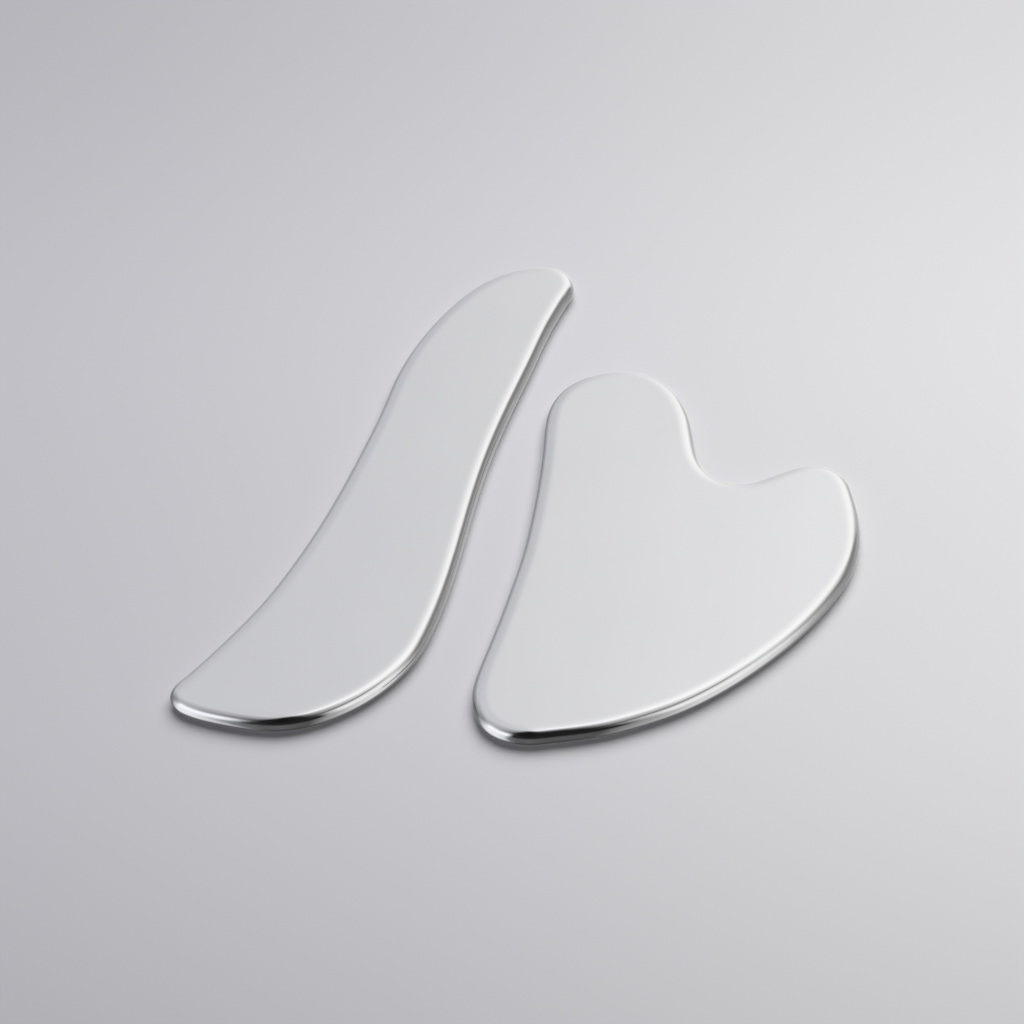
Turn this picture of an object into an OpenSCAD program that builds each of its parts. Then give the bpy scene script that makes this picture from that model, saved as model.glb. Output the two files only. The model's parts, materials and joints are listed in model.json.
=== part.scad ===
// Gua sha scraper set: two loose plates of polished stainless steel that lie flat on a table.
// Each plate is one solid piece. Its outline is a closed chain of tangent arcs, and its edge is
// rounded to a full half circle all the way round. Millimetres, +Z up, table at z = 0.

/* [Plates] */
// Thickness of both plates
plate_t = 3.5; // [2.5:0.1:4]
// Length of the heart plate, from its lower corner to the top of its lobes
heart_length = 81.8; // [72:0.1:88]
// Length of the wave blade, from tip to tip
blade_length = 121; // [108:0.1:130]

/* [Layout] */
// Turn of the heart plate on the table, clockwise
heart_turn = 38; // [36:1:42]
// Turn of the wave blade on the table, clockwise
blade_turn = 35; // [33:1:36]
// Middle of the wave blade, to the left of the middle of the heart plate
blade_left = 48.2; // [48:0.1:57]
// Middle of the wave blade, behind the middle of the heart plate
blade_behind = 18.9; // [16:0.1:23]

/* [Hidden] */
edge_r = plate_t / 2;
edge_strips = 10;
chord_sag = 0.015;

// Outline stations, counter-clockwise: [x, y, heading of the outline in degrees].
// Two tangent arcs run from each station to the next.
heart_stations = [
    [-1.2, -48.3, 2], [4.5, -46.3, 33], [8.5, -42.6, 45], [15.5, -34.6, 55],
    [19.8, -27.8, 60], [25.8, -13, 74.5], [29, 6.7, 88], [27, 22.5, 111],
    [20.4, 32.5, 134], [12.2, 37.7, 180], [7, 35, 230], [4, 29.8, 242],
    [0.9, 24.8, 225], [-4.3, 22.5, 180], [-10, 25, 138], [-12.7, 27.8, 132],
    [-18.4, 33.4, 143], [-27, 36.7, 180], [-36.2, 32, 230], [-40, 22.5, 270],
    [-37.7, 14.7, 300], [-32.6, 6.8, 302], [-22.7, -10.6, 297], [-16.3, -25.2, 292],
    [-11.5, -38, 290], [-8, -44.8, 310],
];
blade_stations = [
    [3.5, -61.9, 8], [12, -59.2, 23], [21, -53.7, 45], [27.4, -43.4, 69],
    [29.6, -31.5, 90], [28, -22.5, 106], [20, -1.5, 114], [11.3, 21, 107.5],
    [6.9, 36.3, 105], [3.4, 48.5, 105.5], [1.5, 57, 101.5], [-0.3, 63.3, 133],
    [-4, 65.3, 177], [-10.7, 61.7, 225], [-16, 51, 259], [-16.8, 41, 270.5],
    [-14.5, 24, 285], [-12, 16.5, 290.5], [-7, 0.5, 286], [-2.3, -19, 280.5],
    [0, -40, 270], [-0.6, -55, 265], [-0.8, -59.7, 288],
];
heart_drawn_length = 86;
blade_drawn_length = 127.2;

// Points down the middle of each plate that its flat faces are divided about
heart_spine = [[-8, 0]];
blade_spine = [[-6, 44], [2, 14], [12, -16], [14, -44]];

function dir(a) = [cos(a), sin(a)];
function wrapped(a) = a - 360 * floor((a + 180) / 360);
function placed(p, size, turn, at) =
    at + size * [p.x * cos(turn) + p.y * sin(turn), p.y * cos(turn) - p.x * sin(turn)];
function placed_stations(stations, size, turn, at) = [
    for (s = stations)
        let (p = placed(s, size, turn, at))
        [p.x, p.y, s.z - turn]
];

// Point where the two arcs between stations p and q meet, with equal tangent lengths
function meeting(p, q) =
    let (
        v = [q.x - p.x, q.y - p.y],
        tp = dir(p.z),
        tq = dir(q.z),
        a = 2 * (1 - tp * tq),
        b = v * (tp + tq),
        d = (v * v) / (b + sqrt(b * b + a * (v * v)))
    )
    ([p.x + q.x, p.y + q.y] + d * (tp - tq)) / 2;

// Arc that leaves p along a heading and ends at q: [centre, radius, first angle, last angle]
function arc_from(p, heading, q) =
    let (
        v = q - p,
        turn = 2 * wrapped(atan2(v.y, v.x) - heading),
        r = norm(v) / (2 * sin(abs(turn) / 2)),
        side = turn > 0 ? 90 : -90
    )
    [p + r * dir(heading + side), r, heading - side, heading - side + turn];
function reversed(arc) = [arc[0], arc[1], arc[3], arc[2]];

function outline(stations) = [
    for (i = [0:len(stations) - 1])
        let (
            p = stations[i],
            q = stations[(i + 1) % len(stations)],
            m = meeting(p, q)
        )
        each [
            arc_from([p.x, p.y], p.z, m),
            reversed(arc_from([q.x, q.y], q.z + 180, m)),
        ]
];

// 1 where an arc bulges out of the plate, -1 where it curves into it
function bulge(arc) = arc[3] > arc[2] ? 1 : -1;
function arc_point(arc, a, inset = 0) = arc[0] + (arc[1] - inset * bulge(arc)) * dir(a);

// How far an outline reaches along the direction a
function arc_reach(arc, a) =
    let (past = a - arc[2] - 360 * floor((a - arc[2]) / 360))
    bulge(arc) > 0 && past < arc[3] - arc[2]
        ? arc_point(arc, a) * dir(a)
        : max(arc_point(arc, arc[2]) * dir(a), arc_point(arc, arc[3]) * dir(a));
function reach(arcs, a) = max([for (arc = arcs) arc_reach(arc, a)]);

heart_size = heart_length / heart_drawn_length;
blade_size = blade_length / blade_drawn_length;
heart_at = [0, 0];
blade_at = [-blade_left, blade_behind];
heart_arcs = outline(placed_stations(heart_stations, heart_size, heart_turn, heart_at));
blade_arcs = outline(placed_stations(blade_stations, blade_size, blade_turn, blade_at));
all_arcs = concat(heart_arcs, blade_arcs);
set_middle = [
    reach(all_arcs, 0) - reach(all_arcs, 180),
    reach(all_arcs, 90) - reach(all_arcs, 270),
] / 2;

steel = [0.78, 0.79, 0.80];

function arc_steps(arc) =
    ceil(abs(arc[3] - arc[2]) * PI / 180 * sqrt(arc[1] / (8 * chord_sag)));
function inset_outline(arcs, inset) = [
    for (arc = arcs)
        let (n = arc_steps(arc))
        for (k = [0:n - 1])
            arc_point(arc, arc[2] + (arc[3] - arc[2]) * k / n, inset) - set_middle
];

function nearest(points, p, k = 0, best = 0) =
    k == len(points) ? best
    : nearest(points, p, k + 1, norm(points[k] - p) < norm(points[best] - p) ? k : best);

// Flat faces joined by a half round edge, as rings of points from the table up.
// Each flat face is a fan of triangles about the points of the spine, which run down its middle.
module plate(arcs, spine) {
    rings = [
        for (k = [0:edge_strips])
            let (a = -90 + 180 * k / edge_strips)
            [for (p = inset_outline(arcs, edge_r * (1 - cos(a)))) [p.x, p.y, edge_r * (1 + sin(a))]]
    ];
    n = len(rings[0]);
    top = edge_strips * n;
    under_hub = top + n;
    top_hub = under_hub + len(spine);
    hubs = [for (p = rings[0]) nearest(spine, [p.x, p.y])];
    polyhedron(
        points = [
            for (ring = rings) each ring,
            for (h = spine) [h.x, h.y, 0],
            for (h = spine) [h.x, h.y, plate_t],
        ],
        faces = [
            for (i = [0:n - 1])
                let (j = (i + 1) % n, hub = hubs[i], next_hub = hubs[j])
                each [
                    [i, j, under_hub + hub],
                    [top + j, top + i, top_hub + hub],
                    if (next_hub != hub) [j, under_hub + next_hub, under_hub + hub],
                    if (next_hub != hub) [top + j, top_hub + hub, top_hub + next_hub],
                    for (k = [0:edge_strips - 1])
                        let (low = k * n, high = low + n)
                        [low + i, high + i, high + j, low + j],
                ],
        ]
    );
}

module heart_scraper() {
    color(steel)
        plate(heart_arcs, [for (p = heart_spine) placed(p, heart_size, heart_turn, heart_at) - set_middle]);
}

module wave_scraper() {
    color(steel)
        plate(blade_arcs, [for (p = blade_spine) placed(p, blade_size, blade_turn, blade_at) - set_middle]);
}

heart_scraper();
wave_scraper();
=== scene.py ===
"""Looks of a gua sha scraper set: two mirror-polished stainless steel plates on a pale table."""

import json
import math

import bpy
import numpy as np
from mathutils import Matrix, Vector


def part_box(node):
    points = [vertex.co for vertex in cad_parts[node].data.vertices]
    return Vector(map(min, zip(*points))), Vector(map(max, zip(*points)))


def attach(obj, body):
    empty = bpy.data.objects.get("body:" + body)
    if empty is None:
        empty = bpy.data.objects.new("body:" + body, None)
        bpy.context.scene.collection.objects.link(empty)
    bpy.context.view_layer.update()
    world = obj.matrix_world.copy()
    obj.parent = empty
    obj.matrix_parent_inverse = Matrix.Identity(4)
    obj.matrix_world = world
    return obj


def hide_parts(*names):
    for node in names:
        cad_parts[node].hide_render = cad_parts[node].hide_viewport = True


MM = 0.001

# ---------------------------------------------------------------- frame

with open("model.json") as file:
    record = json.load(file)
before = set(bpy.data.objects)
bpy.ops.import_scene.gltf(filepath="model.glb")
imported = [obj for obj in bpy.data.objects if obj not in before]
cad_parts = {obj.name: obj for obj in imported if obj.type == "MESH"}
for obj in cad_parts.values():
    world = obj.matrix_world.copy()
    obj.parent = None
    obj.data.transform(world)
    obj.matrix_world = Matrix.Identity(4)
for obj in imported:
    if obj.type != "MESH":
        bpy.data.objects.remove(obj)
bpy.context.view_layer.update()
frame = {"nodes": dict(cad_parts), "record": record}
bodies = frame["record"]["behaviour"]["bodies"]
body_of = {node: body for body, nodes in bodies.items() for node in nodes}

# ---------------------------------------------------------------- plates

OUTLINE_STEP = 0.25 * MM  # spacing of the mesh columns round the outline
OUTLINE_FINE = 0.05 * MM  # spacing while the outline is smoothed
OUTLINE_BLUR = 0.6 * MM  # hand polishing takes the corners off changes of curvature
EDGE_RINGS = 26  # mesh rings from the flat face to the middle of the edge
EASING = 1.85  # length over which the edge's curvature builds up, in final edge radii
TIGHT_EASING = 0.15  # the same at the sharpest corners, where there is no room for a soft start
CORNER_SHARE = 0.93  # part of a corner's radius that the rim may take up
CORNER_REACH = 2 * MM  # how far along the rim a tight corner narrows it
WIDE = 1.0  # radius that stands for a straight or hollow stretch
SAME_HEIGHT = 0.01 * MM
SECTION_STEPS = 4000


def cad_outline(node):
    """The widest loop of a CAD plate, in order and counter-clockwise."""
    mesh = frame["nodes"][node].data
    co = np.array([v.co for v in mesh.vertices])
    middle = (co[:, 2].min() + co[:, 2].max()) / 2
    loop = np.unique(co[np.abs(co[:, 2] - middle) < SAME_HEIGHT, :2].round(7), axis=0)
    order, left = [0], set(range(1, len(loop)))
    while left:
        here = loop[order[-1]]
        nearest = min(left, key=lambda i: float(np.hypot(*(loop[i] - here))))
        order.append(nearest)
        left.remove(nearest)
    loop = loop[order]
    x, y = loop.T
    area = np.sum(x * np.roll(y, -1) - np.roll(x, -1) * y)
    return loop if area > 0 else loop[::-1]


def resampled(loop, step):
    """Points at an even spacing along a closed loop."""
    closed = np.vstack([loop, loop[:1]])
    run = np.r_[0, np.cumsum(np.hypot(*np.diff(closed, axis=0).T))]
    at = np.linspace(0, run[-1], max(8, round(run[-1] / step)), endpoint=False)
    return np.column_stack([np.interp(at, run, closed[:, k]) for k in (0, 1)])


def blurred(loop, radius):
    """The loop with its sharp changes of curvature eased over a short radius."""
    fine = resampled(loop, OUTLINE_FINE)
    wave = np.fft.fft(fine[:, 0] + 1j * fine[:, 1])
    turns = np.fft.fftfreq(len(fine), OUTLINE_FINE) * 2 * math.pi
    eased = np.fft.ifft(wave * np.exp(-((turns * radius) ** 2) / 2))
    return np.column_stack([eased.real, eased.imag])


def edge_section(thickness, easing):
    """Upper half of the rim's section: each ring's inset from the widest line and height above it.

    The curvature builds up evenly from the flat face, so the edge has no visible start.
    """
    run = np.linspace(0, easing / 2 + math.pi, SECTION_STEPS)
    step = run[1] - run[0]
    tilt = np.cumsum(np.minimum(run / easing, 1)) * step
    run, tilt = run[tilt < math.pi / 2], tilt[tilt < math.pi / 2]
    across = np.cumsum(np.cos(tilt)) * step
    drop = np.cumsum(np.sin(tilt)) * step
    size = thickness / 2 / drop[-1]
    # rings are closer together where the edge turns faster
    share = run / run[-1] + tilt / tilt[-1]
    at = np.interp(np.linspace(0, 1, EDGE_RINGS + 1), share / share[-1], run)
    inset = (across[-1] - np.interp(at, run, across)) * size
    height = (drop[-1] - np.interp(at, run, drop)) * size
    return inset, height


def spread_low(values, reach):
    """Each value becomes the lowest one near it on the loop, and the steps are smoothed."""
    low = np.min([np.roll(values, k) for k in range(-reach, reach + 1)], axis=0)
    return np.mean([np.roll(low, k) for k in range(-reach, reach + 1)], axis=0)


def roundness_room(loop, outward):
    """Radius of the bulge at each point of the outline, which the rim's inset has to stay under."""
    turn = np.roll(outward, -1, axis=0) - np.roll(outward, 1, axis=0)
    run = np.roll(loop, -1, axis=0) - np.roll(loop, 1, axis=0)
    bend = np.sum(turn * run, axis=1) / np.sum(run * run, axis=1)
    return spread_low(1 / np.maximum(bend, 1 / WIDE), round(CORNER_REACH / OUTLINE_STEP))


def plate(node, name):
    """A closed plate with flat faces and a rounded rim, on the outline of its CAD node.

    The point attribute rim runs from 0 at the flat faces to 1 at the widest line.
    """
    low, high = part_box(node)
    thickness = high.z - low.z
    loop = resampled(blurred(cad_outline(node), OUTLINE_BLUR), OUTLINE_STEP)
    along = np.roll(loop, -1, axis=0) - np.roll(loop, 1, axis=0)
    along /= np.hypot(*along.T)[:, None]
    outward = np.column_stack([along[:, 1], -along[:, 0]])
    tight = edge_section(thickness, TIGHT_EASING)
    soft = edge_section(thickness, EASING)
    room = CORNER_SHARE * roundness_room(loop, outward)
    softness = np.clip((room - tight[0][0]) / (soft[0][0] - tight[0][0]), 0, 1)[:, None]
    middle = low.z + thickness / 2
    order = [(k, 1) for k in range(EDGE_RINGS + 1)]
    order += [(k, -1) for k in range(EDGE_RINGS - 1, -1, -1)]
    verts, wear = [], []
    for k, side in order:
        inset = tight[0][k] + (soft[0][k] - tight[0][k]) * softness
        height = tight[1][k] + (soft[1][k] - tight[1][k]) * softness
        ring = np.hstack([loop - outward * inset, middle + side * height])
        verts += ring.tolist()
        wear += [k / EDGE_RINGS] * len(loop)
    n, rings = len(loop), len(order)
    faces = [tuple(range(n)), tuple(range(rings * n - 1, (rings - 1) * n - 1, -1))]
    for k in range(rings - 1):
        for i in range(n):
            j = (i + 1) % n
            faces.append((k * n + i, (k + 1) * n + i, (k + 1) * n + j, k * n + j))
    mesh = bpy.data.meshes.new(name)
    mesh.from_pydata(verts, [], faces)
    mesh.attributes.new("rim", "FLOAT", "POINT").data.foreach_set("value", wear)
    mesh.update()
    for i, face in enumerate(mesh.polygons):
        face.use_smooth = i > 1
    obj = bpy.data.objects.new(name, mesh)
    bpy.context.scene.collection.objects.link(obj)
    return obj


# ---------------------------------------------------------------- materials

STEEL_TONES = (0.615, 0.615, 0.622, 1), (0.645, 0.645, 0.648, 1)
POLISH_ROUGHNESS = 0.055, 0.085
HAZE_SCALE, FINE_SCALE, RUB_SCALE, SWELL_SCALE = 55, 2600, 420, 35  # features per metre
SCRATCH_ANGLES = 0.35, 1.2, 2.3
SCRATCH_SCALE, SCRATCH_STRETCH = 90, 40
RELIEF = 0.0008 * MM  # height of the finest marks on the polished faces

# Painted light on the table: its colour is darker and bluer to the left and darker towards the
# front and back, a painted fall-off of the studio light
BOARD_SHADED_LEFT, BOARD_LIT_RIGHT = (0.615, 0.612, 0.658, 1), (0.855, 0.852, 0.87, 1)
BOARD_SHADE_ACROSS = -0.13, 0.13  # from the painted-shade left tone to the painted-light right one, in metres
BOARD_SHADE_NEAR = -0.16, -0.04, 0.78, 1.0  # from y to y, and the share of the painted light at each
BOARD_SHADE_FAR = 0.02, 0.16, 1.0, 0.80
BOARD_ROUGHNESS = 0.35


class Nodes:
    """Short calls for building a node tree."""

    def __init__(self, tree):
        self.tree = tree

    def add(self, kind, **settings):
        node = self.tree.nodes.new(kind)
        for key, value in settings.items():
            setattr(node, key, value)
        return node

    def link(self, value, socket):
        if isinstance(value, bpy.types.NodeSocket):
            self.tree.links.new(value, socket)
        else:
            socket.default_value = value

    def math(self, operation, a, b=0.0, c=0.0):
        node = self.add("ShaderNodeMath", operation=operation)
        for value, socket in zip((a, b, c), node.inputs):
            self.link(value, socket)
        return node.outputs[0]

    def noise(self, place, scale, detail):
        node = self.add("ShaderNodeTexNoise")
        self.link(place, node.inputs["Vector"])
        self.link(float(scale), node.inputs["Scale"])
        self.link(float(detail), node.inputs["Detail"])
        return node.outputs["Fac"]

    def stretched(self, place, angle, ratio):
        """Coordinates turned in the plane of the table and drawn out along one direction."""
        node = self.add("ShaderNodeMapping")
        self.link(place, node.inputs["Vector"])
        self.link((0, 0, angle), node.inputs["Rotation"])
        self.link((1, ratio, 1), node.inputs["Scale"])
        return node.outputs[0]

    def ramp(self, value, low, high, out_low=0.0, out_high=1.0):
        """Smooth step of value from low to high."""
        node = self.add("ShaderNodeMapRange", interpolation_type="SMOOTHSTEP")
        for item, socket in zip((value, low, high, out_low, out_high), node.inputs):
            self.link(item, socket)
        return node.outputs[0]

    def blend(self, share, a, b):
        """Colour a where share is 0 and b where it is 1."""
        node = self.add("ShaderNodeMix", data_type="RGBA")
        self.link(share, node.inputs[0])
        self.link(a, node.inputs[6])
        self.link(b, node.inputs[7])
        return node.outputs[2]

    def scaled(self, colour, share):
        node = self.add("ShaderNodeVectorMath", operation="SCALE")
        self.link(colour, node.inputs[0])
        self.link(share, node.inputs["Scale"])
        return node.outputs[0]


def new_material(name):
    material = bpy.data.materials.new(name)
    material.use_nodes = True
    material.node_tree.nodes.clear()
    n = Nodes(material.node_tree)
    out = n.add("ShaderNodeOutputMaterial")
    shader = n.add("ShaderNodeBsdfPrincipled")
    n.link(shader.outputs[0], out.inputs["Surface"])
    return material, n, shader


def polished_steel():
    """Mirror polish: faint cloudy haze, hair-fine polishing lines and light rubbing on the rim."""
    material, n, shader = new_material("polished_steel")
    place = n.add("ShaderNodeTexCoord").outputs["Object"]
    rim = n.add("ShaderNodeAttribute", attribute_name="rim").outputs["Fac"]
    haze = n.noise(place, HAZE_SCALE, 3)
    fine = n.noise(place, FINE_SCALE, 2)
    lines = [
        n.noise(n.stretched(place, angle, SCRATCH_STRETCH), SCRATCH_SCALE, 3)
        for angle in SCRATCH_ANGLES
    ]
    scratch = n.math("MAXIMUM", n.math("MAXIMUM", lines[0], lines[1]), lines[2])
    scratch = n.ramp(scratch, 0.70, 0.80)
    patches = n.ramp(n.noise(place, RUB_SCALE, 3), 0.40, 0.70)
    rubbed = n.math("MULTIPLY", n.ramp(rim, 0.35, 1.0), patches)
    n.link(n.blend(haze, *STEEL_TONES), shader.inputs["Base Color"])
    n.link(1.0, shader.inputs["Metallic"])
    rough = n.ramp(haze, 0.3, 0.7, *POLISH_ROUGHNESS)
    rough = n.math("MULTIPLY_ADD", fine, 0.02, rough)
    rough = n.math("MULTIPLY_ADD", scratch, 0.05, rough)
    rough = n.math("MULTIPLY_ADD", rubbed, 0.07, rough)
    n.link(rough, shader.inputs["Roughness"])
    swell = n.math("MULTIPLY", n.noise(place, SWELL_SCALE, 1), 6.0)
    relief = n.math("MULTIPLY_ADD", scratch, -0.5, swell)
    relief = n.math("MULTIPLY_ADD", rubbed, -0.3, relief)
    bump = n.add("ShaderNodeBump")
    n.link(1.0, bump.inputs["Strength"])
    n.link(RELIEF, bump.inputs["Distance"])
    n.link(relief, bump.inputs["Height"])
    n.link(bump.outputs[0], shader.inputs["Normal"])
    return material


def table_top_painted_shade():
    """Smooth pale board with painted light fall-off in its colour: bluer and darker to the left,
    and darker towards the front and back.
    """
    material, n, shader = new_material("table_top_painted_shade")
    axes = n.add("ShaderNodeSeparateXYZ")
    n.link(n.add("ShaderNodeTexCoord").outputs["Object"], axes.inputs[0])
    # painted shade: the colour darkens to the left and towards the front and back in place of the
    # light's fall-off
    painted_tone = n.blend(n.ramp(axes.outputs[0], *BOARD_SHADE_ACROSS), BOARD_SHADED_LEFT, BOARD_LIT_RIGHT)
    near_shade = n.ramp(axes.outputs[1], *BOARD_SHADE_NEAR)
    far_shade = n.ramp(axes.outputs[1], *BOARD_SHADE_FAR)
    n.link(n.scaled(painted_tone, n.math("MULTIPLY", near_shade, far_shade)), shader.inputs["Base Color"])
    n.link(BOARD_ROUGHNESS, shader.inputs["Roughness"])
    return material


# ---------------------------------------------------------------- object

steel = polished_steel()
for node, name in (("heart_scraper", "heart_plate"), ("wave_scraper", "wave_blade")):
    piece = plate(node, name)
    piece.data.materials.append(steel)
    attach(piece, body_of[node])
    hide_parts(node)

# ---------------------------------------------------------------- studio

FLOOR_HALF = 6.0  # metres
mesh = bpy.data.meshes.new("table")
corners = [(-1, -1), (1, -1), (1, 1), (-1, 1)]
mesh.from_pydata([(x * FLOOR_HALF, y * FLOOR_HALF, 0) for x, y in corners], [], [(0, 1, 2, 3)])
table = bpy.data.objects.new("table", mesh)
bpy.context.scene.collection.objects.link(table)
table.data.materials.append(table_top_painted_shade())

# The steel doesn't mirror the table but the studio screens, which run on below the table's level.
table.visible_glossy = False

# Brightness of the studio round the table, by compass angle: 0 is straight ahead of the camera
# and 90 to its right. The steel mirrors bright screens ahead and on both sides of the camera,
# and the dark room behind the camera.
CEILING = [
    (-180, 0.01), (-156, 0.02), (-145, 0.35), (-120, 0.62), (-90, 0.7), (-55, 0.87),
    (-40, 0.92), (-12, 0.91), (-3, 1.0), (25, 1.36), (38, 1.44), (55, 1.48), (65, 1.42),
    (105, 0.86), (137, 0.42), (148, 0.15), (156, 0.02), (180, 0.01),
]
WALLS = [
    (-180, 0.02), (-158, 0.02), (-151, 1.5), (-113, 1.5), (-101, 0.75), (-90, 0.46), (-78, 0.42),
    (-48, 0.81), (-12, 0.83), (-4, 0.94), (13, 1.28), (28, 1.42), (38, 1.42), (44, 1.2),
    (54, 0.34), (80, 0.32), (92, 0.56), (103, 1.15), (113, 1.3), (136, 1.3), (148, 0.02),
]
LOW_WALLS = [
    (-180, 0.17), (-165, 0.15), (-155, 0.25), (-148, 1.0), (-135, 1.3), (-113, 1.3), (-105, 1.1),
    (-85, 0.33), (-65, 0.25), (-55, 0.28), (-25, 0.63), (5, 1.06), (25, 1.1), (36, 0.78),
    (75, 0.44), (88, 0.46), (97, 0.6), (107, 0.95), (117, 1.1), (127, 1.0), (147, 0.4),
    (157, 0.12), (180, 0.17),
]
# Elevations, in degrees, between which one band passes into the next
LOW_TOP, WALL_START = -2, 26
WALL_TOP, CEILING_START = 32, 58
ZENITH, ZENITH_START = 0.3, 84
NADIR, NADIR_START, NADIR_END = 0.08, -30, -80

# Dark gap between the wall screen and the ceiling screen on the right: its depth by compass angle
SEAM = [(-180, 0), (85, 0), (100, 0.6), (150, 0.6), (160, 0), (180, 0)]
SEAM_LOW, SEAM_MIDDLE, SEAM_TOP = 48, 55, 62

BLUISH, NEUTRAL = (0.98, 0.985, 1.03, 1), (1.0, 1.0, 1.0, 1)
TINT_ACROSS = -0.3, 0.3  # from the bluish left of the studio to the neutral right
FILL_SHARE = 0.06  # part of that brightness that lights the matt table
VIEW_TONE = (0.70, 0.70, 0.72, 1)  # what the camera sees past the table's edge

KEY_AZIMUTH, KEY_ELEVATION = 20, 62  # degrees
KEY_AWAY = 1.0  # metres
KEY_SIZE = 1.15
KEY_POWER = 11.2  # watts


def round_ramp(n, turn, stops):
    """Value by compass angle, from a list of (angle, value)."""
    node = n.add("ShaderNodeValToRGB")
    elements = node.color_ramp.elements
    elements.remove(elements[1])
    elements[0].position = 0
    peak = max(value for _, value in stops)
    for k, (angle, value) in enumerate(stops):
        element = elements.new(angle / 360 + 0.5) if k else elements[0]
        element.color = (value / peak,) * 3 + (1,)
    n.link(turn, node.inputs[0])
    return n.math("MULTIPLY", node.outputs[0], peak)


def mixed(n, share, a, b):
    """a where share is 0 and b where it is 1."""
    return n.math("MULTIPLY_ADD", share, n.math("SUBTRACT", b, a), a)


def studio_world():
    world = bpy.data.worlds.new("studio")
    world.use_nodes = True
    world.node_tree.nodes.clear()
    n = Nodes(world.node_tree)
    direction = n.add("ShaderNodeTexCoord").outputs["Generated"]
    axes = n.add("ShaderNodeSeparateXYZ")
    n.link(direction, axes.inputs[0])
    east, north, up = axes.outputs
    turn = n.math("MULTIPLY_ADD", n.math("ARCTAN2", east, north), 0.5 / math.pi, 0.5)
    height = n.math("MULTIPLY", n.math("ARCSINE", up), 180 / math.pi)
    low, walls, ceiling = (round_ramp(n, turn, stops) for stops in (LOW_WALLS, WALLS, CEILING))
    level = mixed(n, n.ramp(height, LOW_TOP, WALL_START), low, walls)
    level = mixed(n, n.ramp(height, WALL_TOP, CEILING_START), level, ceiling)
    into_seam = n.ramp(height, SEAM_LOW, SEAM_MIDDLE)
    seam = n.math("SUBTRACT", into_seam, n.ramp(height, SEAM_MIDDLE, SEAM_TOP))
    seam = n.math("MULTIPLY", seam, round_ramp(n, turn, SEAM))
    level = mixed(n, seam, level, 0.0)
    level = mixed(n, n.ramp(height, NADIR_START, NADIR_END), level, NADIR)
    level = mixed(n, n.ramp(height, ZENITH_START, 90), level, ZENITH)
    path = n.add("ShaderNodeLightPath")
    level = n.math("MULTIPLY", level, mixed(n, path.outputs["Is Diffuse Ray"], 1.0, FILL_SHARE))
    screens = n.scaled(n.blend(n.ramp(east, *TINT_ACROSS), BLUISH, NEUTRAL), level)
    sky = n.add("ShaderNodeBackground")
    n.link(n.blend(path.outputs["Is Camera Ray"], screens, VIEW_TONE), sky.inputs[0])
    n.link(sky.outputs[0], n.add("ShaderNodeOutputWorld").inputs[0])
    return world


def key_light():
    light = bpy.data.lights.new("key", "AREA")
    light.shape = "DISK"
    light.size = KEY_SIZE
    light.energy = KEY_POWER
    obj = bpy.data.objects.new("key", light)
    a, e = math.radians(KEY_AZIMUTH), math.radians(KEY_ELEVATION)
    toward = Vector((math.sin(a) * math.cos(e), math.cos(a) * math.cos(e), math.sin(e)))
    obj.location = toward * KEY_AWAY
    obj.rotation_euler = toward.to_track_quat("Z", "Y").to_euler()
    obj.visible_glossy = False
    bpy.context.scene.collection.objects.link(obj)


bpy.context.scene.world = studio_world()
bpy.context.scene.view_settings.view_transform = "Standard"
key_light()

# ---------------------------------------------------------------- camera

CAMERA_PITCH = 49  # degrees below the horizon
CAMERA_AWAY = 420.4 * MM
CAMERA_FOCAL, CAMERA_SENSOR = 84.4, 36  # millimetres
AIM = Vector((-2.16, -4.40, 0)) * MM

pitch = math.radians(CAMERA_PITCH)
camera = bpy.data.objects.new("camera", bpy.data.cameras.new("camera"))
camera.data.sensor_width = CAMERA_SENSOR
camera.data.lens = CAMERA_FOCAL
camera.data.clip_start = 0.01
camera.location = AIM + CAMERA_AWAY * Vector((0, -math.cos(pitch), math.sin(pitch)))
camera.rotation_euler = (math.pi / 2 - pitch, 0, 0)
bpy.context.scene.collection.objects.link(camera)
bpy.context.scene.camera = camera
